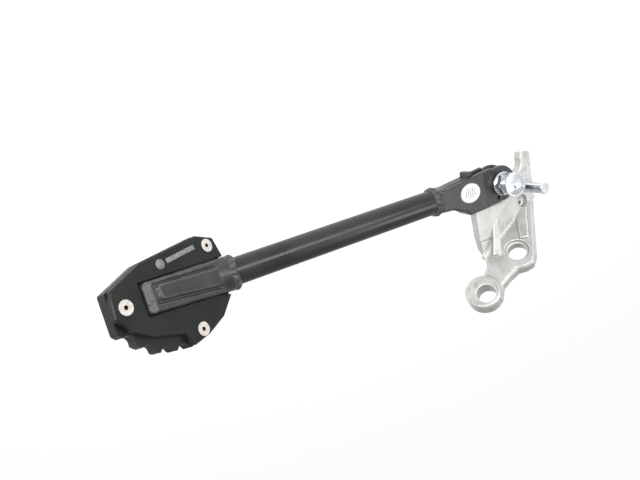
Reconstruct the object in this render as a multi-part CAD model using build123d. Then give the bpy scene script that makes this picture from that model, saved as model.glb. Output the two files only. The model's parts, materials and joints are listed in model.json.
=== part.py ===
from build123d import *
import os
from math import cos, sin, radians

# Side stand of a motorcycle, in millimetres.
# Origin: the axis of the bracket's main bolt hole, at the front face of its plate.
# +Y is that hole's axis and points away from the engine, +Z is up, +X is forward.
# The leg is folded back, as it is when the motorcycle is ridden.

# ---- driving dimensions: where the leg and its pivot lie -------------------
LEG_ORIGIN = Vector(55.7, 36.3, -78.8)       # a point of the tube's axis, beside the pivot
PIVOT_AXIS = Vector(0.3873, 0.4589, 0.7996)
LEG_AXIS = Vector(0.8656, -0.4796, -0.1441)  # from the foot towards the pivot
PIVOT_A = 5.0                                # the pivot, seen in the leg frame
PIVOT_B = -2.0
FAR = 60.0                                   # a cutting tool's reach, longer than what it cuts

# ---- driving dimensions: bracket ------------------------------------------
PLATE_THICKNESS = 12.0
PLATE_EDGE = 1.8
EYE_RADIUS = 16.0
EYE_X = -1.5           # the eye's rim is cast off centre from its bore
EYE_Z = -3.5
EYE_RISE = 2.0
EYE_BACK = -14.0
EYE_EDGE = 2.4
MOUNT_HOLE_RADIUS = 8.5
SECOND_HOLE_X = 44.0
SECOND_HOLE_Z = -23.8
SECOND_HOLE_RIM = 10.6
SECOND_HOLE_RIM_DEPTH = 2.5
LUG_THICKNESS = 8.8
LUG_NOSE_RADIUS = 13.0
LUG_LEFT = -24.5
CORNER_FILL_RADIUS = 7.0
CAST_FACE_RISE = 0.6   # the rough face stands this far above the machined one
TAB_NOTCH_RADIUS = 9.0
TAB_NOTCH_A = 24.8
TAB_NOTCH_B = 10.5
LUG_RIGHT = 44.0
GUSSET_DEPTH = 24.0
MIDDLE_RIB_TOP = (-3.6, -33.0)               # on the lug, in the leg frame
MIDDLE_RIB_FOOT = Vector(27.8, 1.2, -28.0)   # on the plate
MIDDLE_RIB_WIDTHS = (4.6, 8.0)
EDGE_RIB_TOP = (26.5, -32.0)
EDGE_RIB_FOOT = Vector(55.8, 2.6, -30.5)
EDGE_RIB_WIDTHS = (9.5, 7.6)

# ---- driving dimensions: pivot --------------------------------------------
SHOULDER_RADIUS = 7.0
THREAD_RADIUS = 6.0
RUNNING_CLEARANCE = 0.05
BUSH_RADIUS = 9.0
SHIM_THICKNESS = 0.5
SHIM_RADIUS = 12.5
WASHER_THICKNESS = 1.5
WASHER_RADIUS = 9.8
HEX_FLANGE_RADIUS = 10.7
HEX_FLANGE_THICKNESS = 1.6
HEX_ACROSS_FLATS = 18.0
HEX_HEIGHT = 5.6
HEAD_NECK_RADIUS = 6.2
HEAD_NECK_LENGTH = 7.2
HEAD_FLANGE_RADIUS = 11.1
HEAD_FLANGE_THICKNESS = 2.2
HEAD_DOME_HEIGHT = 1.6
HEAD_CROWN_RADIUS = 3.7
HEAD_CROWN_HEIGHT = 1.8
NUT_ACROSS_FLATS = 18.0
NUT_HEIGHT = 8.0
THREAD_STICKS_OUT = 3.0

# ---- driving dimensions: spring post and switch boss, in the lug ----------
POST_A = 29.8
POST_B = -12.2
POST_RADIUS = 5.0
POST_SHANK_RADIUS = 4.4
POST_UNDERCUT = 1.0
POST_TIP = 34.0
POST_EDGE = 0.6
POCKET_A = 29.1
POCKET_B = -26.4
POCKET_RADIUS = 5.7
POCKET_DEPTH = 3.2
BOSS_A = 26.6
BOSS_B = -27.2
BOSS_RADIUS = 3.3
BOSS_HOLE_RADIUS = 1.7
BOSS_HOLE_DEPTH = 7.0

# ---- driving dimensions: fork ---------------------------------------------
EAR_GAP = 5.1          # from the middle of the slot to an ear's inner face
EAR_FACE = 10.0        # from the middle of the slot to an ear's outer face
EAR_RECESS = 8.5       # the lower flat around the pivot
EAR_RADIUS = 16.4
EAR_STEP_A = -14.6     # where the outer face steps down to the lower flat
SLOT_FLOOR_A = -26.0
FORK_TAIL_A = -62.0
TAIL_END_RADIUS = 12.2
TAIL_WIDE_RADIUS = 26.0
TAIL_LENGTH = 30.0
FORK_EDGE = 1.8
SEAM_GROOVE_LOW = 2.4  # the groove that runs on from the slot along the upper edge
SEAM_GROOVE_HIGH = 5.0
PEG_HOLE_RADIUS = 1.9
PEG_HOLE_A = 0.0
PEG_HOLE_B = -14.0
STOP_BLOCK_A = -26.0
STOP_BLOCK_LENGTH = 8.0
STOP_BLOCK_TOP = 17.0
LABEL_A = -31.0
LABEL_B = -0.6
LABEL_HALF_LENGTH = 10.4
LABEL_HALF_WIDTH = 8.6
LABEL_THICKNESS = 0.3

# ---- driving dimensions: leg tube and welds -------------------------------
TUBE_RADIUS = 11.0
TUBE_WALL = 2.5
TUBE_TOP_A = -64.0
FOOT_A = -239.0        # where the leg's axis passes over the foot's own frame
TUBE_FOOT_END = -12.0  # along the leg from FOOT_A
FORK_WELD_RADIUS = 13.2
FORK_WELD_WIDTH = 7.0
FOOT_WELD_RADIUS = 14.4
FOOT_WELD_WIDTH = 7.6
SPIGOT_LENGTH = 14.0
SPIGOT_CLEARANCE = 0.1

# ---- driving dimensions: foot ---------------------------------------------
SOLE_PITCH = 38.9      # degrees between the leg and the sole
SOLE_ROLL = 17.4       # degrees that the sole is rolled about the leg
TOP_PLATE_FACE = -10.7
TOP_PLATE_THICKNESS = 5.0
BASE_THICKNESS = 9.0
PAD_TOP = -5.7
PAD_GAP = 1.2
NECK_RADIUS = 13.6
NECK_ROOT_RADIUS = 12.6
NECK_LENGTH = 30.0
NECK_GAP = 0.8
TOOTH_RADIUS = 5.4
PAD_RIB = [(-80.0, 8.0), (-22.0, 7.0), (-22.0, -6.6), (-79.0, -2.4)]
PAD_RIB_RISE = 2.0
PAD_GROOVES = [
    [(-82.0, 10.0), (-24.0, 9.4), (-24.0, 7.0), (-82.0, 8.0)],
    [(-82.0, -2.2), (-24.0, -6.4), (-24.0, -9.0), (-82.0, -4.6)],
]
GROOVE_DEPTH = 1.2
SCREW_SITES = [(-101.6, 0.3), (-20.8, 25.7), (-49.5, -31.2)]
SCREW_HEAD_RADIUS = 5.1
SCREW_RADIUS = 2.5
SCREW_SOCKET = 3.0
SCREW_LENGTH = 12.0

# ---- frames ----------------------------------------------------------------
# Leg frame: x along the leg towards the pivot, z along the pivot axis, outwards.
LEG = Plane(origin=LEG_ORIGIN, x_dir=LEG_AXIS, z_dir=PIVOT_AXIS)

pitch = radians(SOLE_PITCH)
roll = radians(SOLE_ROLL)
sole_normal = Vector(sin(pitch), cos(pitch) * sin(roll), cos(pitch) * cos(roll))
sole_forward = Vector(cos(pitch), -sin(pitch) * sin(roll), -sin(pitch) * cos(roll))
# Foot frame, inside the leg frame: x towards the pivot, z up from the sole.
FOOT_IN_LEG = Plane(origin=(FOOT_A, 0, 0), x_dir=sole_forward, z_dir=sole_normal)

HALF_LUG = LUG_THICKNESS / 2
SPIGOT_RADIUS = TUBE_RADIUS - TUBE_WALL - SPIGOT_CLEARANCE
PLATE_BOTTOM = TOP_PLATE_FACE - TOP_PLATE_THICKNESS
BASE_BOTTOM = PLATE_BOTTOM - BASE_THICKNESS


def in_leg(shape):
    """Moves a shape drawn in the leg frame to its place."""
    return LEG.location * shape


def in_foot(shape):
    """Moves a shape drawn in the foot frame to its place."""
    return LEG.location * FOOT_IN_LEG.location * shape


def at_pivot(shape):
    """Moves a shape drawn round the pivot's axis to its place."""
    return LEG.location * Pos(PIVOT_A, PIVOT_B, 0) * shape


def leg_in_foot(shape):
    """Moves a shape drawn along the leg from FOOT_A into the foot frame."""
    return FOOT_IN_LEG.location.inverse() * Pos(FOOT_A, 0, 0) * shape


def slab(points, low, high, corner=0.0):
    """A flat piece with this outline, between two heights."""
    face = Polygon(*points, align=None)
    if corner:
        face = fillet(face.vertices(), corner)
    return Pos(0, 0, low) * extrude(face, high - low, dir=(0, 0, 1))


def rod(radius, low, high, a=0.0, b=0.0):
    """A round bar along z."""
    return Pos(a, b, low) * Cylinder(radius, high - low, align=(Align.CENTER, Align.CENTER, Align.MIN))


def ring(outer, inner, low, high):
    """A flat washer or a plain bush along z."""
    return rod(outer, low, high) - rod(inner, low - 1, high + 1)


def hexagon(across_flats, low, high):
    """A hexagonal prism with its corners turned off at both ends."""
    blank = extrude(RegularPolygon(across_flats / 2, 6, major_radius=False), high - low)
    turned = rod(across_flats / 2 * 1.13, 0, high - low)
    turned = chamfer(turned.edges(), 0.9)
    return Pos(0, 0, low) * (blank & turned)


# ---- bracket ---------------------------------------------------------------
def lug_point(a, b):
    """A point of the lug's outer face."""
    return (LEG.location * Pos(a, b, HALF_LUG)).position


def plate():
    """The flat plate that bolts to the engine, with the eye at its end."""
    outline = [
        (9.5, 9.5), (17.0, -0.8), (25.5, -4.6), (35.0, -7.4), (42.5, -5.4), (50.0, -6.2),
        (56.5, -13.5), (73.5, -44.5), (88.0, -71.0), (86.0, -80.0), (17.0, -46.5),
        (17.6, -34.5), (14.0, -24.5), (8.0, -19.0), (0, 0),
    ]
    shape = Polygon(*outline, align=None)
    gentle_bends = shape.vertices().filter_by(lambda v: 10 < v.X < 76 and v.Y > -45)
    shape = fillet(gentle_bends, 3.0)
    body = extrude(Plane.XZ * shape, PLATE_THICKNESS, dir=(0, -1, 0))
    front_rim = body.edges().filter_by(lambda e: abs(e.center().Y) < 0.01)
    body = chamfer(front_rim, PLATE_EDGE)
    # The plate ends flush with the lug's back and side.
    body &= in_leg(slab([(-60, -150), (LUG_RIGHT, -150), (LUG_RIGHT, 40), (-60, 40)], -HALF_LUG, 150))
    return body


def eye():
    """The round boss at the plate's end, its rim a little off the bore's centre."""
    boss = rod(EYE_RADIUS, -EYE_RISE, -EYE_BACK)
    boss = fillet(boss.edges(), EYE_EDGE)
    return Pos(EYE_X, 0, EYE_Z) * Rot(90, 0, 0) * boss


def lug():
    """The flat lug, in the leg frame, that stands in the fork's slot and carries the stop tab."""
    outline = [
        (-17.0, -70.0), (-22.5, -60.0), (LUG_LEFT, -45.0), (LUG_LEFT, -18.0), (-12.0, -8.0),
        (-6.0, 4.0), (PIVOT_A, PIVOT_B), (14.0, 9.0), (24.0, 7.0), (31.7, 5.0), (34.6, 20.8),
        (45.2, 18.0), (44.2, -12.0), (41.0, -48.0),
    ]
    shape = Polygon(*outline, align=None)
    shoulders = shape.vertices().filter_by(lambda v: 16 < v.X < 32 and v.Y > 0)
    shape = fillet(shoulders, 2.5)
    tab_tip = shape.vertices().filter_by(lambda v: v.Y > 16 and v.X > 30)
    shape = fillet(tab_tip, 1.8)
    shape += Pos(PIVOT_A, PIVOT_B) * Circle(LUG_NOSE_RADIUS)
    body = Pos(0, 0, -HALF_LUG) * extrude(shape, LUG_THICKNESS, dir=(0, 0, 1))
    # Below this line the casting is left rough, and stands a little proud.
    rough = [
        (LUG_LEFT, -21.3), (8.0, -21.3), (19.5, -18.6), (22.5, -14.0), (43.0, -20.0), (40.0, -50.0),
        (LUG_LEFT, -50.0),
    ]
    body += slab(rough, HALF_LUG - 0.5, HALF_LUG + CAST_FACE_RISE)
    return body - rod(TAB_NOTCH_RADIUS, -FAR, FAR, TAB_NOTCH_A, TAB_NOTCH_B)


def corner_fill():
    """The concave fillet of the casting between the plate and the lug."""
    seam = Vector(0, 1, 0).cross(PIVOT_AXIS).normalized()
    up_plate = seam.cross(Vector(0, 1, 0)).normalized()
    up_lug = PIVOT_AXIS.cross(seam).normalized()
    half_turn = radians(up_plate.get_angle(up_lug) / 2)
    reach = CORNER_FILL_RADIUS * cos(half_turn) / sin(half_turn)
    # A point of the seam, below the pivot, where the lug's outer face meets the plate's front.
    rise = PIVOT_AXIS.dot(LEG_ORIGIN) + HALF_LUG
    corner = Vector(LEG_ORIGIN.X, 0, (rise - PIVOT_AXIS.X * LEG_ORIGIN.X) / PIVOT_AXIS.Z)
    start = corner + up_plate * reach
    end = corner + up_lug * reach
    towards_centre = (up_plate + up_lug).normalized()
    centre = corner + towards_centre * (CORNER_FILL_RADIUS / sin(half_turn))
    middle = centre - towards_centre * CORNER_FILL_RADIUS
    root = corner - towards_centre * 5
    section = make_face([ThreePointArc(start, middle, end), Line(end, root), Line(root, start)])
    return extrude(section, FAR, dir=seam, both=True)


def gusset(lug_place, bottom, widths):
    """A tapered rib whose crest runs from a point of the lug to a point of the plate."""
    top = lug_point(*lug_place)
    crest = bottom - top
    level = Vector(0, 1, 0).cross(PIVOT_AXIS).normalized()
    outwards = crest.cross(level).normalized()
    if outwards.Y < 0:
        outwards = -outwards
    level = outwards.cross(crest).normalized()
    ends = []
    for place, width in zip((top, bottom), widths):
        plane = Plane(origin=place, x_dir=level, z_dir=crest)
        towards = plane.to_local_coords(place + outwards).Y
        box = Rectangle(width, GUSSET_DEPTH)
        ends.append(plane * Pos(0, -towards * GUSSET_DEPTH / 2) * box)
    return loft(ends)


def corner_room():
    """The space in front of the plate's and the lug's middle planes."""
    before_plate = Pos(0, -PLATE_THICKNESS / 2, 0) * Box(
        300, 100, 300, align=(Align.CENTER, Align.MIN, Align.CENTER)
    )
    return before_plate & in_leg(Box(300, 300, 100, align=(Align.CENTER, Align.CENTER, Align.MIN)))


def mounting_bracket():
    casting = plate() + eye() + in_leg(lug())
    left = LUG_LEFT + 1
    right = LUG_RIGHT - 1
    casting += corner_fill() & in_leg(slab([(left, -95), (right, -95), (right, -14), (left, -14)], -FAR, FAR))
    middle_rib = gusset(MIDDLE_RIB_TOP, MIDDLE_RIB_FOOT, MIDDLE_RIB_WIDTHS)
    edge_rib = gusset(EDGE_RIB_TOP, EDGE_RIB_FOOT, EDGE_RIB_WIDTHS)
    casting += (middle_rib + edge_rib) & corner_room()
    # Bolt holes to the engine.
    main_hole = Cylinder(MOUNT_HOLE_RADIUS, 80)
    casting -= Rot(90, 0, 0) * main_hole
    casting -= Pos(SECOND_HOLE_X, 0, SECOND_HOLE_Z) * Rot(90, 0, 0) * main_hole
    rim = rod(SECOND_HOLE_RIM, -20, SECOND_HOLE_RIM_DEPTH)
    casting -= Pos(SECOND_HOLE_X, 0, SECOND_HOLE_Z) * Rot(90, 0, 0) * rim
    # Holes across the lug: pivot bush, spring post, and a pocket with the switch's screw boss in it.
    casting -= at_pivot(rod(BUSH_RADIUS, -FAR, FAR))
    casting -= in_leg(rod(POST_SHANK_RADIUS, -FAR, FAR, POST_A, POST_B))
    casting -= in_leg(rod(POCKET_RADIUS, HALF_LUG - POCKET_DEPTH, FAR, POCKET_A, POCKET_B))
    casting += in_leg(rod(BOSS_RADIUS, 0, HALF_LUG, BOSS_A, BOSS_B))
    casting -= in_leg(rod(BOSS_HOLE_RADIUS, HALF_LUG - BOSS_HOLE_DEPTH, FAR, BOSS_A, BOSS_B))
    return casting


def spring_post():
    """The plain pin for the return springs, pressed into the lug up to its undercut."""
    free = rod(POST_RADIUS, HALF_LUG + POST_UNDERCUT, POST_TIP, POST_A, POST_B)
    free = chamfer(free.edges().group_by(Axis.Z)[-1], POST_EDGE)
    return in_leg(free + rod(POST_SHANK_RADIUS, -HALF_LUG, HALF_LUG + POST_UNDERCUT + 1, POST_A, POST_B))


def pivot_bush():
    return at_pivot(ring(BUSH_RADIUS, SHOULDER_RADIUS + RUNNING_CLEARANCE, -HALF_LUG, HALF_LUG))


# ---- fork ------------------------------------------------------------------
def fork_blank():
    """The fork's outline, in the leg frame, before its slot is cut."""
    upper = [(FORK_TAIL_A, 10.5), (-50.0, 9.6), (-4.0, 15.0), (PIVOT_A, 0.0)]
    lower = [
        (PIVOT_A, -12.0), (2.0, -18.7), (-32.5, -21.3), (-37.5, -17.0), (-49.8, -11.2),
        (FORK_TAIL_A, -10.2),
    ]
    shape = Polygon(*upper, *lower, align=None)
    bends = shape.vertices().filter_by(lambda v: FORK_TAIL_A + 1 < v.X < -10)
    shape = fillet(bends, 2.0) + Pos(PIVOT_A, PIVOT_B) * Circle(EAR_RADIUS)
    body = Pos(0, 0, -EAR_FACE) * extrude(shape, 2 * EAR_FACE, dir=(0, 0, 1))
    rims = body.edges().filter_by(lambda e: abs(abs(e.center().Z) - EAR_FACE) < 0.01)
    return chamfer(rims, FORK_EDGE)


def fork():
    """The forged fork: two ears beside the lug, and a tail with a spigot into the tube."""
    body = fork_blank()
    body -= slab([(SLOT_FLOOR_A, -FAR), (FAR, -FAR), (FAR, FAR), (SLOT_FLOOR_A, FAR)], -EAR_GAP, EAR_GAP)
    body -= slab([(EAR_STEP_A, -FAR), (FAR, -FAR), (FAR, FAR), (EAR_STEP_A, FAR)], EAR_RECESS, FAR)
    seam_groove = [(-58.0, 8.0), (SLOT_FLOOR_A, 9.0), (SLOT_FLOOR_A, 30.0), (-58.0, 30.0)]
    body -= slab(seam_groove, SEAM_GROOVE_LOW, SEAM_GROOVE_HIGH)
    body -= rod(SHOULDER_RADIUS + RUNNING_CLEARANCE, 0, FAR, PIVOT_A, PIVOT_B)
    body -= rod(THREAD_RADIUS + RUNNING_CLEARANCE, -FAR, 0, PIVOT_A, PIVOT_B)
    body -= rod(PEG_HOLE_RADIUS, 0, FAR, PEG_HOLE_A, PEG_HOLE_B)
    # The tail's corners are turned to meet the round tube.
    tail = Pos(FORK_TAIL_A, 0, 0) * Rot(0, 90, 0) * Cone(
        TAIL_END_RADIUS, TAIL_WIDE_RADIUS, TAIL_LENGTH, align=(Align.CENTER, Align.CENTER, Align.MIN)
    )
    ears_start = FORK_TAIL_A + TAIL_LENGTH - 1
    ears = slab([(ears_start, -FAR), (FAR, -FAR), (FAR, FAR), (ears_start, FAR)], -FAR, FAR)
    body &= tail + ears
    spigot = Rot(0, 90, 0) * rod(SPIGOT_RADIUS, FORK_TAIL_A - SPIGOT_LENGTH, FORK_TAIL_A + 2)
    return in_leg(body + spigot)


def stop_block(fork_solid):
    low = STOP_BLOCK_A - STOP_BLOCK_LENGTH / 2
    high = STOP_BLOCK_A + STOP_BLOCK_LENGTH / 2
    block = slab([(low, 5), (high, 5), (high - 1, STOP_BLOCK_TOP), (low + 2, STOP_BLOCK_TOP)], -5, 5, 0.8)
    return in_leg(block) - fork_solid


def inspection_label():
    film = extrude(Ellipse(LABEL_HALF_LENGTH, LABEL_HALF_WIDTH), LABEL_THICKNESS)
    return in_leg(Pos(LABEL_A, LABEL_B, EAR_FACE) * film)


# ---- pivot bolt ------------------------------------------------------------
def pivot_bolt():
    """Shoulder bolt with a flanged hexagon, a waist for a spring eye and a domed end flange."""
    hex_low = EAR_RECESS + WASHER_THICKNESS
    hex_high = hex_low + HEX_FLANGE_THICKNESS + HEX_HEIGHT
    flange_low = hex_high + HEAD_NECK_LENGTH
    flange_high = flange_low + HEAD_FLANGE_THICKNESS
    crown_low = flange_high + HEAD_DOME_HEIGHT
    thread_end = -EAR_FACE - WASHER_THICKNESS - NUT_HEIGHT - THREAD_STICKS_OUT
    thread = chamfer(rod(THREAD_RADIUS, thread_end, -EAR_GAP).edges().group_by(Axis.Z)[0], 0.8)
    seat = rod(HEX_FLANGE_RADIUS, hex_low, hex_low + HEX_FLANGE_THICKNESS)
    seat = chamfer(seat.edges().group_by(Axis.Z)[-1], 0.6)
    flange = rod(HEAD_FLANGE_RADIUS, flange_low, flange_high)
    flange = fillet(flange.edges(), 0.9)
    dome = Pos(0, 0, flange_high) * Cone(
        HEAD_FLANGE_RADIUS - 1.6, HEAD_CROWN_RADIUS + 0.6, HEAD_DOME_HEIGHT,
        align=(Align.CENTER, Align.CENTER, Align.MIN),
    )
    crown = rod(HEAD_CROWN_RADIUS, crown_low, crown_low + HEAD_CROWN_HEIGHT)
    crown = fillet(crown.edges().group_by(Axis.Z)[-1], 0.9)
    body = rod(SHOULDER_RADIUS, -EAR_GAP, hex_low) + thread + seat
    body += hexagon(HEX_ACROSS_FLATS, hex_low + HEX_FLANGE_THICKNESS, hex_high)
    body += rod(HEAD_NECK_RADIUS, hex_high, flange_low)
    return at_pivot(body + flange + dome + crown)


def bolt_washer():
    bore = SHOULDER_RADIUS + RUNNING_CLEARANCE
    return at_pivot(ring(WASHER_RADIUS, bore, EAR_RECESS, EAR_RECESS + WASHER_THICKNESS))


def nut_washer():
    bore = THREAD_RADIUS + RUNNING_CLEARANCE
    return at_pivot(ring(WASHER_RADIUS, bore, -EAR_FACE - WASHER_THICKNESS, -EAR_FACE))


def pivot_nut():
    high = -EAR_FACE - WASHER_THICKNESS
    low = high - NUT_HEIGHT
    return at_pivot(hexagon(NUT_ACROSS_FLATS, low, high) - rod(THREAD_RADIUS, low - 1, high + 1))


def thrust_washer(side):
    """A thin washer between the lug and an ear; side is 1 outside and -1 inside."""
    washer = ring(SHIM_RADIUS, SHOULDER_RADIUS + RUNNING_CLEARANCE, EAR_GAP - SHIM_THICKNESS, EAR_GAP)
    if side < 0:
        washer = Rot(180, 0, 0) * washer
    return at_pivot(washer)


# ---- leg tube and welds ----------------------------------------------------
def along_leg(shape, a):
    """Turns a shape drawn along z to lie along the leg, starting at a."""
    return in_leg(Pos(a, 0, 0) * Rot(0, 90, 0) * shape)


def leg_tube():
    start = FOOT_A + TUBE_FOOT_END
    return along_leg(ring(TUBE_RADIUS, TUBE_RADIUS - TUBE_WALL, 0, TUBE_TOP_A - start), start)


def weld_bead(middle, radius, width, neighbour):
    """A round bead on the tube's outside, up against the piece that it joins to the tube."""
    half = width / 2
    crown = ThreePointArc((TUBE_RADIUS, -half), (radius, 0), (TUBE_RADIUS, half))
    section = make_face([crown, Line((TUBE_RADIUS, half), (TUBE_RADIUS, -half))])
    return along_leg(revolve(Plane.XZ * section, Axis.Z), middle) - neighbour


# ---- foot ------------------------------------------------------------------
def base_outline():
    return [
        (-110.0, 12.5), (-82.0, 25.5), (-29.4, 35.2), (-12.5, 31.2), (-8.5, 16.0), (-10.5, -13.8),
        (-27.0, -29.0), (-45.0, -36.5), (-60.5, -39.8), (-74.0, -37.4), (-87.0, -34.0),
        (-98.5, -25.5), (-110.0, -13.9),
    ]


def extension_base_plate():
    body = slab(base_outline(), BASE_BOTTOM, PLATE_BOTTOM, 2.0)
    rims = body.edges().filter_by(lambda e: abs(e.center().Z - BASE_BOTTOM) < 0.01)
    body = chamfer(rims, 1.0)
    notches = [(-67.3, -40.2), (-80.6, -37.4), (-93.4, -31.4), (-104.8, -21.4)]
    for u, v in notches:
        body -= rod(TOOTH_RADIUS, BASE_BOTTOM - 1, PLATE_BOTTOM + 1, u, v)
    for u, v in SCREW_SITES:
        body -= rod(SCREW_RADIUS, BASE_BOTTOM - 1, PLATE_BOTTOM + 1, u, v)
    return in_foot(body)


def pad_outline(gap=0.0):
    """The forged pad seen from above; gap widens it to the opening around it."""
    return [
        (-87.5 - gap, 11.8 + gap), (-4.0 + gap, 14.0 + gap), (-4.0 + gap, -13.6 - gap),
        (-87.5 - gap, -9.2 - gap),
    ]


def extension_top_plate():
    outline = [
        (-108.6, 12.8), (-82.0, 25.2), (-29.4, 34.8), (-12.8, 30.6), (-9.0, 16.0), (-10.8, -13.6),
        (-27.2, -28.6), (-45.8, -36.3), (-61.5, -39.3), (-65.0, -29.6), (-90.0, -23.0), (-103.5, -14.8),
        (-111.0, -5.0), (-110.0, 6.0),
    ]
    body = slab(outline, PLATE_BOTTOM, TOP_PLATE_FACE, 2.0)
    rims = body.edges().filter_by(lambda e: abs(e.center().Z - TOP_PLATE_FACE) < 0.01)
    body = chamfer(rims, 0.7)
    opening = pad_outline(PAD_GAP)
    opening[1] = (20, opening[1][1])
    opening[2] = (20, opening[2][1])
    body -= slab(opening, PLATE_BOTTOM - 1, TOP_PLATE_FACE + 1)
    for u, v in SCREW_SITES:
        body -= rod(SCREW_RADIUS, PLATE_BOTTOM - 1, TOP_PLATE_FACE + 1, u, v)
        sink = Cone(SCREW_RADIUS, SCREW_HEAD_RADIUS + 0.1, SCREW_HEAD_RADIUS + 0.1 - SCREW_RADIUS)
        depth = SCREW_HEAD_RADIUS + 0.1 - SCREW_RADIUS
        body -= Pos(u, v, TOP_PLATE_FACE - depth / 2) * sink
    # The tube's neck leans out over the plate's open end.
    neck_room = Rot(0, 90, 0) * rod(FOOT_WELD_RADIUS + NECK_GAP, -60, 40)
    body -= leg_in_foot(neck_room)
    return in_foot(body)


def foot_forging():
    """The forged foot: a flat pad with a raised rib, and a round neck that takes the tube."""
    pad = slab(pad_outline(), PLATE_BOTTOM, PAD_TOP, 3.0)
    rims = pad.edges().filter_by(lambda e: abs(e.center().Z - PAD_TOP) < 0.01)
    pad = chamfer(rims, 1.6)
    end_bevel = Polygon(
        (-90, PAD_TOP - 3.4), (-87.5, PAD_TOP - 3.4), (-82.6, PAD_TOP + 1), (-90, PAD_TOP + 1), align=None
    )
    pad -= extrude(Plane.XZ * end_bevel, FAR, both=True)
    for groove in PAD_GROOVES:
        pad -= slab(groove, PAD_TOP - GROOVE_DEPTH, PAD_TOP + 1)
    rib_bar = slab(PAD_RIB, PAD_TOP - 2, PAD_TOP + PAD_RIB_RISE, 2.6)
    rib_rim = rib_bar.edges().filter_by(lambda e: abs(e.center().Z - PAD_TOP - PAD_RIB_RISE) < 0.01)
    rib_bar = fillet(rib_rim, 1.5)
    neck = Cone(NECK_ROOT_RADIUS, NECK_RADIUS, NECK_LENGTH, align=(Align.CENTER, Align.CENTER, Align.MAX))
    neck = leg_in_foot(Pos(TUBE_FOOT_END, 0, 0) * Rot(0, 90, 0) * neck)
    above_sole = Pos(-45, 0, PLATE_BOTTOM) * Box(140, 60, 60, align=(Align.CENTER, Align.CENTER, Align.MIN))
    tube_room = leg_in_foot(Rot(0, 90, 0) * rod(FAR, TUBE_FOOT_END, FAR))
    spigot = leg_in_foot(Rot(0, 90, 0) * rod(SPIGOT_RADIUS, TUBE_FOOT_END - 1, TUBE_FOOT_END + SPIGOT_LENGTH))
    return in_foot(pad + rib_bar + (neck & above_sole) - tube_room + spigot)


def plate_screw(u, v):
    """Countersunk socket screw, flush with the top plate."""
    head_depth = SCREW_HEAD_RADIUS - SCREW_RADIUS
    head = Pos(0, 0, -head_depth / 2) * Cone(SCREW_RADIUS - 0.05, SCREW_HEAD_RADIUS, head_depth)
    shank = rod(SCREW_RADIUS - 0.05, -SCREW_LENGTH, -head_depth)
    socket = extrude(RegularPolygon(SCREW_SOCKET / 2, 6, major_radius=False), -2.0)
    return in_foot(Pos(u, v, TOP_PLATE_FACE) * (head + shank - socket))


# ---- every piece, by name --------------------------------------------------
def all_pieces():
    fork_solid = fork()
    foot_solid = foot_forging()
    foot_weld_middle = FOOT_A + TUBE_FOOT_END + 1.0
    pieces = {
        "mounting_bracket": mounting_bracket(),
        "spring_post": spring_post(),
        "pivot_bush": pivot_bush(),
        "fork": fork_solid,
        "stop_block": stop_block(fork_solid),
        "inspection_label": inspection_label(),
        "pivot_bolt": pivot_bolt(),
        "bolt_washer": bolt_washer(),
        "nut_washer": nut_washer(),
        "pivot_nut": pivot_nut(),
        "thrust_washer_outer": thrust_washer(1),
        "thrust_washer_inner": thrust_washer(-1),
        "leg_tube": leg_tube(),
        "fork_weld": weld_bead(TUBE_TOP_A, FORK_WELD_RADIUS, FORK_WELD_WIDTH, fork_solid),
        "foot_weld": weld_bead(foot_weld_middle, FOOT_WELD_RADIUS, FOOT_WELD_WIDTH, foot_solid),
        "foot_forging": foot_solid,
        "extension_top_plate": extension_top_plate(),
        "extension_base_plate": extension_base_plate(),
    }
    for number, (u, v) in enumerate(SCREW_SITES, start=1):
        pieces[f"plate_screw_{number}"] = plate_screw(u, v)
    return pieces


os.makedirs("parts", exist_ok=True)
for name, shape in all_pieces().items():
    export_step(shape, f"parts/{name}.step")
    print(name, round(shape.volume))
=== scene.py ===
import bpy
import bmesh
import json
import math
from mathutils import Matrix, Vector


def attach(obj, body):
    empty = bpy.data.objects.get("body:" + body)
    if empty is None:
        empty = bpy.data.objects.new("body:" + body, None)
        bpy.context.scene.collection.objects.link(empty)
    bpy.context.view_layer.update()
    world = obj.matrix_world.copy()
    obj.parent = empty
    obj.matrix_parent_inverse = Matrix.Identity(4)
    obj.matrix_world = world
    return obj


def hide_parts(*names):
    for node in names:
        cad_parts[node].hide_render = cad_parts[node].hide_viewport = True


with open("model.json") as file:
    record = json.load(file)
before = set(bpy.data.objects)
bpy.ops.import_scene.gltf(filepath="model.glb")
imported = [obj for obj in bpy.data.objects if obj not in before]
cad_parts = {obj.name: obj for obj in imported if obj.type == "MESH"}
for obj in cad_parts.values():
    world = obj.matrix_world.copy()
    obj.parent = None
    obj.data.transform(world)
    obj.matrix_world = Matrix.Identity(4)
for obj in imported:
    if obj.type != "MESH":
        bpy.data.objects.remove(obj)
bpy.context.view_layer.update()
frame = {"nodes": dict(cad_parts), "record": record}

MM = 0.001

# ---- camera and studio, in metres, in the model's frame --------------------
CAMERA_PLACE = Vector((-0.02393, 0.42700, 0.19293))
CAMERA_RIGHT = Vector((0.8461, -0.4401, 0.3008))
CAMERA_UP = Vector((0.5024, 0.4701, -0.7257))
CAMERA_LENS = 27.56
SENSOR_WIDTH = 36.0
FLOOR_HEIGHT = -0.36
FLOOR_SIZE = 30.0
FLOOR_GLOW = 0.45
WORLD_DIM = 0.46       # the studio's light from the picture's lower side
WORLD_BRIGHT = 0.95    # and from its upper side
OVER_PLACE = Vector((0.45, 0.054, 0.47))
OVER_TARGET = Vector((0.03, 0.03, -0.07))
OVER_SIZE = 0.3
OVER_POWER = 1.0
STRIP_PLACE = Vector((0.02, 0.46, 0.17))
STRIP_TARGET = Vector((-0.04, 0.10, -0.05))
STRIP_LENGTH = 1.0
STRIP_WIDTH = 0.07
STRIP_POWER = 2.2

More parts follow.
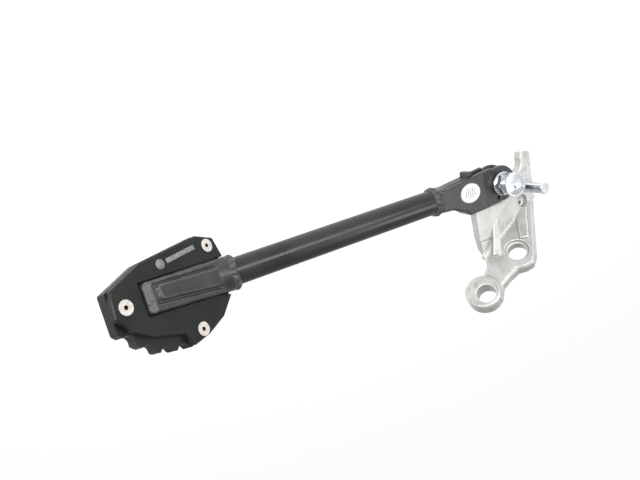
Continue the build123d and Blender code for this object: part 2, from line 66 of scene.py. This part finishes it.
# ---- the leg's own frame: x to the pivot, z along the pivot axis -----------
LEG_ORIGIN = Vector((0.0557, 0.0363, -0.0788))
LEG_AXIS = Vector((0.8656, -0.4796, -0.1441))
PIVOT_AXIS = Vector((0.3873, 0.4589, 0.7996))
FOOT_A = -239.0
SOLE_PITCH = math.radians(38.9)
SOLE_ROLL = math.radians(17.4)

# ---- sizes, in millimetres --------------------------------------------------
PIVOT_A = 5.0
PIVOT_B = -2.0
TUBE_RADIUS = 11.0
FORK_WELD = {"middle": -64.0, "radius": 13.4, "width": 7.0, "lumps": 15}
FOOT_WELD = {"middle": -250.0, "radius": 14.4, "width": 7.6, "lumps": 17}
WELD_STEPS_AROUND = 180
WELD_STEPS_ACROSS = 12
WELD_DIP = 0.9         # how far the bead's hollows lie below its stated radius
WELD_POOL = 0.8        # how far each pool stands up again
WELD_WANDER = 0.35
WELD_LEAN = 0.5
WELD_ROOT = 0.5        # how deep the bead bites into the tube
LABEL_PLACE = (-31.0, -0.6, 10.3)
LABEL_HALF_LENGTH = 10.4
LABEL_HALF_WIDTH = 8.6
LABEL_RIM_INSET = 0.3
LABEL_RIM_BAND = 0.4
INK_RISE = 0.02
INK_DEPTH = 0.1
LINE_WIDTH = 1.0
LINE_HEIGHT = 0.06
OVAL_STEPS = 72
LABEL_LINES = [(-4.6, 7.0), (-2.3, 9.0), (0.0, 8.0), (2.3, 9.6), (4.6, 6.0)]
THREAD_RADIUS = 6.0
THREAD_LOW = -21.6
THREAD_HIGH = -19.6
THREAD_PITCH = 1.0
THREAD_RIDGE = 0.28
THREAD_STEPS = 48      # in one turn
TOP_PLATE_FACE = -10.7
SCREW_FACE_DEPTH = 0.4
PLATE_EDGE_BEVEL = 0.35
SKIN_VOXEL = 0.6
EMBLEM_PLACE = (-66.9, 20.9)
EMBLEM_RADIUS = 3.6
BAR_PLACE = (-47.5, 24.4)
BAR_SIZE = (28.0, 3.4, 0.16)
BAR_TURN = math.radians(10.3)


def leg_matrix():
    along = (LEG_AXIS - PIVOT_AXIS * LEG_AXIS.dot(PIVOT_AXIS)).normalized()
    axis = PIVOT_AXIS.normalized()
    turn = Matrix((along, axis.cross(along), axis)).transposed()
    return Matrix.Translation(LEG_ORIGIN) @ turn.to_4x4() @ Matrix.Scale(MM, 4)


def foot_matrix():
    """The foot's own frame in millimetres: x towards the pivot, z up from the sole."""
    cosine = math.cos(SOLE_PITCH)
    sine = math.sin(SOLE_PITCH)
    normal = Vector((sine, cosine * math.sin(SOLE_ROLL), cosine * math.cos(SOLE_ROLL)))
    forward = Vector((cosine, -sine * math.sin(SOLE_ROLL), -sine * math.cos(SOLE_ROLL)))
    turn = Matrix((forward, normal.cross(forward), normal)).transposed()
    return leg_matrix() @ Matrix.Translation((FOOT_A, 0, 0)) @ turn.to_4x4()


LEG = leg_matrix()
FOOT = foot_matrix()


# ---- camera -----------------------------------------------------------------
def make_camera():
    data = bpy.data.cameras.new("camera")
    data.lens = CAMERA_LENS
    data.sensor_width = SENSOR_WIDTH
    data.clip_start = 0.01
    data.clip_end = 100.0
    camera = bpy.data.objects.new("camera", data)
    bpy.context.scene.collection.objects.link(camera)
    right = CAMERA_RIGHT.normalized()
    up = (CAMERA_UP - right * CAMERA_UP.dot(right)).normalized()
    back = right.cross(up)
    turn = Matrix((right, up, back)).transposed()
    camera.matrix_world = Matrix.Translation(CAMERA_PLACE) @ turn.to_4x4()
    bpy.context.scene.camera = camera


# ---- materials --------------------------------------------------------------
class Finish:
    """A material being built: its node tree, its shader, and a few helpers."""

    def __init__(self, name, color, metallic, roughness):
        self.material = bpy.data.materials.new(name)
        self.material.use_nodes = True
        self.nodes = self.material.node_tree.nodes
        self.links = self.material.node_tree.links
        self.shader = self.nodes["Principled BSDF"]
        self.shader.inputs["Base Color"].default_value = (*color, 1.0)
        self.shader.inputs["Metallic"].default_value = metallic
        self.shader.inputs["Roughness"].default_value = roughness

    def place(self):
        return self.nodes.new("ShaderNodeTexCoord").outputs["Object"]

    def noise(self, scale, detail=4.0):
        node = self.nodes.new("ShaderNodeTexNoise")
        node.inputs["Scale"].default_value = scale
        node.inputs["Detail"].default_value = detail
        self.links.new(self.place(), node.inputs["Vector"])
        return node.outputs["Fac"]

    def span(self, value, low, high, to_low=0.0, to_high=1.0):
        """The value from low to high, mapped to another range and clamped."""
        node = self.nodes.new("ShaderNodeMapRange")
        node.inputs["From Min"].default_value = low
        node.inputs["From Max"].default_value = high
        node.inputs["To Min"].default_value = to_low
        node.inputs["To Max"].default_value = to_high
        self.links.new(value, node.inputs["Value"])
        return node.outputs["Result"]

    def mix(self, factor, first, second):
        """Colour first where the factor is 0 and second where it is 1."""
        node = self.nodes.new("ShaderNodeMix")
        node.data_type = "RGBA"
        self.links.new(factor, node.inputs["Factor"])
        for socket, color in (("A", first), ("B", second)):
            target = [s for s in node.inputs if s.name == socket and s.type == "RGBA"][0]
            if isinstance(color, tuple):
                target.default_value = (*color, 1.0)
            else:
                self.links.new(color, target)
        return [s for s in node.outputs if s.type == "RGBA"][0]

    def tint(self, value, dark, light):
        return self.mix(self.span(value, 0.35, 0.65), dark, light)

    def paint(self, color):
        self.links.new(color, self.shader.inputs["Base Color"])

    def roughen(self, value, low, high):
        self.links.new(self.span(value, 0.3, 0.7, low, high), self.shader.inputs["Roughness"])

    def bump(self, value, strength, distance):
        node = self.nodes.new("ShaderNodeBump")
        node.inputs["Strength"].default_value = strength
        node.inputs["Distance"].default_value = distance
        self.links.new(value, node.inputs["Height"])
        self.links.new(node.outputs["Normal"], self.shader.inputs["Normal"])

    def edges(self, low, high):
        """0 on flat ground, 1 on a convex edge."""
        node = self.nodes.new("ShaderNodeNewGeometry")
        return self.span(node.outputs["Pointiness"], low, high)

    def height(self, direction):
        """How far a point lies along a direction, in metres."""
        node = self.nodes.new("ShaderNodeVectorMath")
        node.operation = "DOT_PRODUCT"
        node.inputs[1].default_value = direction
        self.links.new(self.place(), node.inputs[0])
        return node.outputs["Value"]


def satin_paint():
    finish = Finish("satin_black_paint", (0.015, 0.017, 0.018), 0.0, 0.28)
    broad = finish.noise(30.0)
    fine = finish.noise(1100.0, 3.0)
    finish.paint(finish.tint(broad, (0.010, 0.0118, 0.0120), (0.019, 0.0215, 0.0230)))
    finish.roughen(broad, 0.22, 0.34)
    finish.bump(fine, 0.22, 0.0003)
    return finish.material


def forged_paint():
    """The same paint over a rough forging or a weld, lighter on its convex edges as a painted highlight.
    """
    finish = Finish("black_paint_on_forging", (0.018, 0.019, 0.021), 0.0, 0.36)
    broad = finish.noise(60.0, 6.0)
    fine = finish.noise(620.0, 5.0)
    body = finish.tint(broad, (0.022, 0.0240, 0.0250), (0.038, 0.0410, 0.0440))
    # Convex edges get a lighter colour: a painted highlight along the edges.
    finish.paint(finish.mix(finish.edges(0.508, 0.545), body, (0.095, 0.100, 0.108)))
    finish.roughen(broad, 0.28, 0.44)
    finish.bump(fine, 0.45, 0.0005)
    return finish.material


def anodised():
    finish = Finish("black_anodised", (0.013, 0.0145, 0.014), 0.0, 0.38)
    broad = finish.noise(42.0)
    fine = finish.noise(2400.0, 2.0)
    finish.paint(finish.tint(broad, (0.0060, 0.0072, 0.0066), (0.0115, 0.0130, 0.0120)))
    finish.shader.inputs["Specular IOR Level"].default_value = 0.36
    finish.roughen(broad, 0.32, 0.46)
    finish.bump(fine, 0.16, 0.0002)
    return finish.material


def cast_metal():
    """Plated casting: pale and finely pitted, with painted shade in its hollows and a painted highlight
    on its edges.
    """
    finish = Finish("plated_casting", (0.55, 0.55, 0.53), 0.55, 0.4)
    broad = finish.noise(48.0, 6.0)
    fine = finish.noise(760.0, 6.0)
    body = finish.tint(broad, (0.46, 0.46, 0.438), (0.62, 0.62, 0.602))
    stains = finish.span(finish.noise(150.0, 8.0), 0.56, 0.72)
    body = finish.mix(stains, body, (0.44, 0.43, 0.40))
    # Convex edges are painted near white: a painted highlight.
    painted_edge_highlight = finish.mix(finish.edges(0.506, 0.55), body, (0.90, 0.90, 0.89))
    # Concave places are painted darker: painted shade in the hollows.
    finish.paint(finish.mix(finish.edges(0.494, 0.44), painted_edge_highlight, (0.34, 0.33, 0.30)))
    finish.roughen(broad, 0.34, 0.5)
    finish.bump(fine, 0.5, 0.0006)
    return finish.material


def zinc():
    finish = Finish("bright_zinc", (0.66, 0.68, 0.72), 1.0, 0.2)
    broad = finish.noise(190.0)
    finish.paint(finish.tint(broad, (0.70, 0.72, 0.75), (0.84, 0.86, 0.89)))
    finish.roughen(broad, 0.21, 0.29)
    return finish.material


def stainless():
    """Plain steel screws, painted near black down in the sockets as painted shade."""
    finish = Finish("plain_stainless", (0.72, 0.67, 0.63), 0.4, 0.4)
    broad = finish.noise(320.0)
    body = finish.tint(broad, (0.60, 0.56, 0.52), (0.78, 0.73, 0.69))
    normal = (FOOT.to_3x3() @ Vector((0, 0, 1))).normalized()
    face = (FOOT @ Vector((0, 0, TOP_PLATE_FACE))).dot(normal)
    depth = finish.height(normal)
    # Below the plate's face the screws are painted near black: painted shade in the sockets.
    painted_socket_shade = finish.span(depth, face - SCREW_FACE_DEPTH * MM, face - 2 * SCREW_FACE_DEPTH * MM)
    finish.paint(finish.mix(painted_socket_shade, body, (0.030, 0.020, 0.014)))
    finish.roughen(broad, 0.3, 0.44)
    return finish.material


def bronze():
    finish = Finish("bearing_bronze", (0.6, 0.42, 0.22), 1.0, 0.35)
    finish.paint(finish.tint(finish.noise(200.0), (0.50, 0.34, 0.18), (0.66, 0.48, 0.27)))
    return finish.material


def label_film():
    finish = Finish("label_film", (0.86, 0.84, 0.87), 0.0, 0.5)
    finish.paint(finish.tint(finish.noise(120.0), (0.82, 0.81, 0.83), (0.88, 0.87, 0.90)))
    return finish.material


def ink(name, dark, light):
    finish = Finish(name, light, 0.0, 0.55)
    finish.paint(finish.tint(finish.noise(500.0), dark, light))
    return finish.material


MATERIALS = {
    "cast_bracket": cast_metal(),
    "zinc_plate": zinc(),
    "bronze": bronze(),
    "black_paint": satin_paint(),
    "black_anodised": anodised(),
    "stainless": stainless(),
    "label": label_film(),
}
FORGED = forged_paint()


def dress_nodes():
    """Gives every CAD piece the material of its slot."""
    for part in frame["record"]["subparts"]:
        piece = frame["nodes"][part["node"]]
        piece.data.materials.clear()
        piece.data.materials.append(MATERIALS[part["material_slot"]])


def soften_edges(node, width):
    """A small bevel on a CAD piece's sharp edges."""
    bevel = frame["nodes"][node].modifiers.new("soft edges", "BEVEL")
    bevel.width = width * MM
    bevel.segments = 2
    bevel.limit_method = "ANGLE"
    bevel.angle_limit = math.radians(40)


# ---- pieces made here -------------------------------------------------------
def keep_piece(name, mesh, material, body):
    """A new object of this mesh, already in the model's frame, that rides on a body."""
    piece = bpy.data.objects.new(name, mesh)
    bpy.context.scene.collection.objects.link(piece)
    mesh.materials.clear()
    mesh.materials.append(material)
    for polygon in mesh.polygons:
        polygon.use_smooth = True
    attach(piece, body)
    return piece


def soft_copy(node, body, material, voxel, passes, lump, lump_size):
    """The CAD piece with the rounded edges and the uneven skin of a casting or a forging."""
    mesh = frame["nodes"][node].data.copy()
    piece = keep_piece(node + "_skin", mesh, material, body)
    remesh = piece.modifiers.new("one skin", "REMESH")
    remesh.mode = "VOXEL"
    remesh.voxel_size = voxel * MM
    remesh.use_smooth_shade = True
    smooth = piece.modifiers.new("round edges", "SMOOTH")
    smooth.factor = 0.5
    smooth.iterations = passes
    texture = bpy.data.textures.new(node + "_lumps", "CLOUDS")
    texture.noise_scale = lump_size * MM
    texture.noise_depth = 2
    swell = piece.modifiers.new("uneven skin", "DISPLACE")
    swell.texture = texture
    swell.texture_coords = "LOCAL"
    swell.mid_level = 0.5
    swell.strength = lump * MM
    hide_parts(node)
    return piece


def ring_mesh(name, rows):
    """A closed mesh from rows of points, each row joined to the next and the last to the first."""
    shape = bmesh.new()
    made = [[shape.verts.new(point) for point in row] for row in rows]
    for i, row in enumerate(made):
        after = made[(i + 1) % len(made)]
        for j in range(len(row)):
            k = (j + 1) % len(row)
            shape.faces.new((row[j], after[j], after[k], row[k]))
    bmesh.ops.recalc_face_normals(shape, faces=shape.faces)
    mesh = bpy.data.meshes.new(name)
    shape.to_mesh(mesh)
    shape.free()
    return mesh


def weld_bead(node, middle, radius, width, lumps):
    """A run of overlapping weld pools round the tube."""
    rows = []
    for step in range(WELD_STEPS_AROUND):
        turn = 2 * math.pi * step / WELD_STEPS_AROUND
        pool = abs(math.sin(lumps * turn / 2 + 0.5 * math.sin(2 * turn)))
        outer = radius - WELD_DIP + WELD_POOL * pool
        wander = WELD_WANDER * math.sin(3 * turn + 0.8)
        half = width / 2 * (0.92 + 0.08 * pool)
        inner = TUBE_RADIUS - WELD_ROOT
        row = []
        for across in range(WELD_STEPS_ACROSS + 1):
            t = 2 * across / WELD_STEPS_ACROSS - 1
            lean = WELD_LEAN * (1 - t * t) * pool
            reach = inner + (outer - inner) * (1 - t * t) ** 0.55
            turned = turn + lean / radius
            a = middle + wander + t * half
            row.append(LEG @ Vector((a, reach * math.cos(turned), reach * math.sin(turned))))
        rows.append(row)
    piece = keep_piece(node + "_bead", ring_mesh(node, rows), FORGED, "leg")
    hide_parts(node)


def oval_band(name, material, half_length, half_width, band):
    """A thin printed oval line on the label."""
    a, b, h = LABEL_PLACE
    rows = []
    for step in range(OVAL_STEPS):
        turn = 2 * math.pi * step / OVAL_STEPS
        row = []
        for inset, lift in ((0, -INK_DEPTH), (0, INK_RISE), (band, INK_RISE), (band, -INK_DEPTH)):
            u = (half_length - inset) * math.cos(turn)
            v = (half_width - inset) * math.sin(turn)
            row.append(LEG @ Vector((a + u, b + v, h + lift)))
        rows.append(row)
    keep_piece(name, ring_mesh(name, rows), material, "leg")


def low_block(name, space, centre, size, turn, material):
    """A thin printed or inlaid block with rounded upper edges, in the leg's or the foot's frame."""
    shape = bmesh.new()
    bmesh.ops.create_cube(shape, size=1.0)
    place = space @ Matrix.Translation(centre) @ Matrix.Rotation(turn, 4, "Z")
    bmesh.ops.scale(shape, vec=size, verts=shape.verts)
    bmesh.ops.bevel(
        shape, geom=shape.edges[:], offset=min(size) * 0.3, segments=2, affect="EDGES", profile=0.5
    )
    shape.transform(place)
    mesh = bpy.data.meshes.new(name)
    shape.to_mesh(mesh)
    shape.free()
    return keep_piece(name, mesh, material, "leg")


def inlay_disc(name, space, centre, radius, thickness, material):
    """A thin round inlay with a rounded rim."""
    shape = bmesh.new()
    bmesh.ops.create_cone(
        shape, cap_ends=True, segments=64, radius1=radius, radius2=radius - thickness / 2, depth=thickness
    )
    shape.transform(space @ Matrix.Translation(centre))
    mesh = bpy.data.meshes.new(name)
    shape.to_mesh(mesh)
    shape.free()
    keep_piece(name, mesh, material, "leg")


def bolt_thread():
    """The ridge of the thread that stands out of the nut."""
    turns = (THREAD_HIGH - THREAD_LOW) / THREAD_PITCH
    steps = int(turns * THREAD_STEPS)
    data = bpy.data.curves.new("bolt_thread", "CURVE")
    data.dimensions = "3D"
    data.bevel_depth = THREAD_RIDGE * MM
    data.bevel_resolution = 3
    data.use_fill_caps = True
    line = data.splines.new("POLY")
    line.points.add(steps)
    for step in range(steps + 1):
        turn = 2 * math.pi * step / THREAD_STEPS
        point = LEG @ Vector((
            PIVOT_A + (THREAD_RADIUS - THREAD_RIDGE / 2) * math.cos(turn),
            PIVOT_B + (THREAD_RADIUS - THREAD_RIDGE / 2) * math.sin(turn),
            THREAD_LOW + THREAD_PITCH * step / THREAD_STEPS,
        ))
        line.points[step].co = (*point, 1.0)
    piece = bpy.data.objects.new("bolt_thread", data)
    bpy.context.scene.collection.objects.link(piece)
    data.materials.append(MATERIALS["zinc_plate"])
    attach(piece, "leg")


def make_pieces():
    voxel = SKIN_VOXEL
    soft_copy("mounting_bracket", "bracket", MATERIALS["cast_bracket"], voxel, 3, 0.4, 9.0)
    soft_copy("fork", "leg", FORGED, voxel, 3, 0.55, 17.0)
    soft_copy("foot_forging", "leg", FORGED, voxel, 4, 0.7, 8.0)
    weld_bead("fork_weld", **FORK_WELD)
    weld_bead("foot_weld", **FOOT_WELD)
    rim = ink("label_rim_ink", (0.55, 0.36, 0.42), (0.66, 0.46, 0.52))
    grey = ink("label_ink", (0.28, 0.27, 0.31), (0.42, 0.41, 0.46))
    rim_length = LABEL_HALF_LENGTH - LABEL_RIM_INSET
    rim_width = LABEL_HALF_WIDTH - LABEL_RIM_INSET
    oval_band("label_rim", rim, rim_length, rim_width, LABEL_RIM_BAND)
    a, b, h = LABEL_PLACE
    for number, (across, length) in enumerate(LABEL_LINES, start=1):
        line_size = (LINE_WIDTH, length, LINE_HEIGHT)
        low_block(f"label_line_{number}", LEG, (a + across, b, h), line_size, 0.0, grey)
    inlay = ink("pale_inlay", (0.16, 0.16, 0.165), (0.24, 0.24, 0.25))
    inlay_disc(
        "plate_emblem", FOOT, (*EMBLEM_PLACE, TOP_PLATE_FACE), EMBLEM_RADIUS, BAR_SIZE[2], inlay,
    )
    low_block("plate_bar", FOOT, (*BAR_PLACE, TOP_PLATE_FACE), BAR_SIZE, BAR_TURN, inlay)
    bolt_thread()


# ---- floor and light --------------------------------------------------------
def make_floor():
    """A plain white floor below the lowered foot."""
    bpy.ops.mesh.primitive_plane_add(size=FLOOR_SIZE, location=(0, 0, FLOOR_HEIGHT))
    floor = bpy.context.object
    floor.name = "floor"
    finish = Finish("pale_floor", (0.9, 0.9, 0.9), 0.0, 0.9)
    finish.shader.inputs["Emission Color"].default_value = (1.0, 1.0, 1.0, 1.0)
    finish.shader.inputs["Emission Strength"].default_value = FLOOR_GLOW
    floor.data.materials.append(finish.material)


def area_light(name, place, target, length, width, power):
    """A soft light whose long side runs in line with the leg."""
    data = bpy.data.lights.new(name, "AREA")
    data.shape = "RECTANGLE"
    data.size = length
    data.size_y = width
    data.energy = power
    light = bpy.data.objects.new(name, data)
    bpy.context.scene.collection.objects.link(light)
    back = (place - target).normalized()
    along = (LEG_AXIS - back * LEG_AXIS.dot(back)).normalized()
    turn = Matrix((along, back.cross(along), back)).transposed()
    light.matrix_world = Matrix.Translation(place) @ turn.to_4x4()


def make_world():
    """A white studio, brighter on the picture's upper side than below."""
    world = bpy.data.worlds.new("studio")
    world.use_nodes = True
    nodes = world.node_tree.nodes
    links = world.node_tree.links
    place = nodes.new("ShaderNodeTexCoord")
    rise = nodes.new("ShaderNodeVectorMath")
    rise.operation = "DOT_PRODUCT"
    rise.inputs[1].default_value = CAMERA_UP.normalized()
    level = nodes.new("ShaderNodeMapRange")
    level.inputs["From Min"].default_value = -0.8
    level.inputs["From Max"].default_value = 0.8
    level.inputs["To Min"].default_value = WORLD_DIM
    level.inputs["To Max"].default_value = WORLD_BRIGHT
    links.new(place.outputs["Generated"], rise.inputs[0])
    links.new(rise.outputs["Value"], level.inputs["Value"])
    links.new(level.outputs["Result"], nodes["Background"].inputs["Strength"])
    nodes["Background"].inputs["Color"].default_value = (1.0, 1.0, 1.0, 1.0)
    bpy.context.scene.world = world


make_camera()
make_floor()
make_world()
area_light("strip", STRIP_PLACE, STRIP_TARGET, STRIP_LENGTH, STRIP_WIDTH, STRIP_POWER)
area_light("over", OVER_PLACE, OVER_TARGET, OVER_SIZE, OVER_SIZE, OVER_POWER)
dress_nodes()
for plate_node in ("extension_top_plate", "extension_base_plate"):
    soften_edges(plate_node, PLATE_EDGE_BEVEL)
make_pieces()
bpy.context.scene.view_settings.view_transform = "Standard"
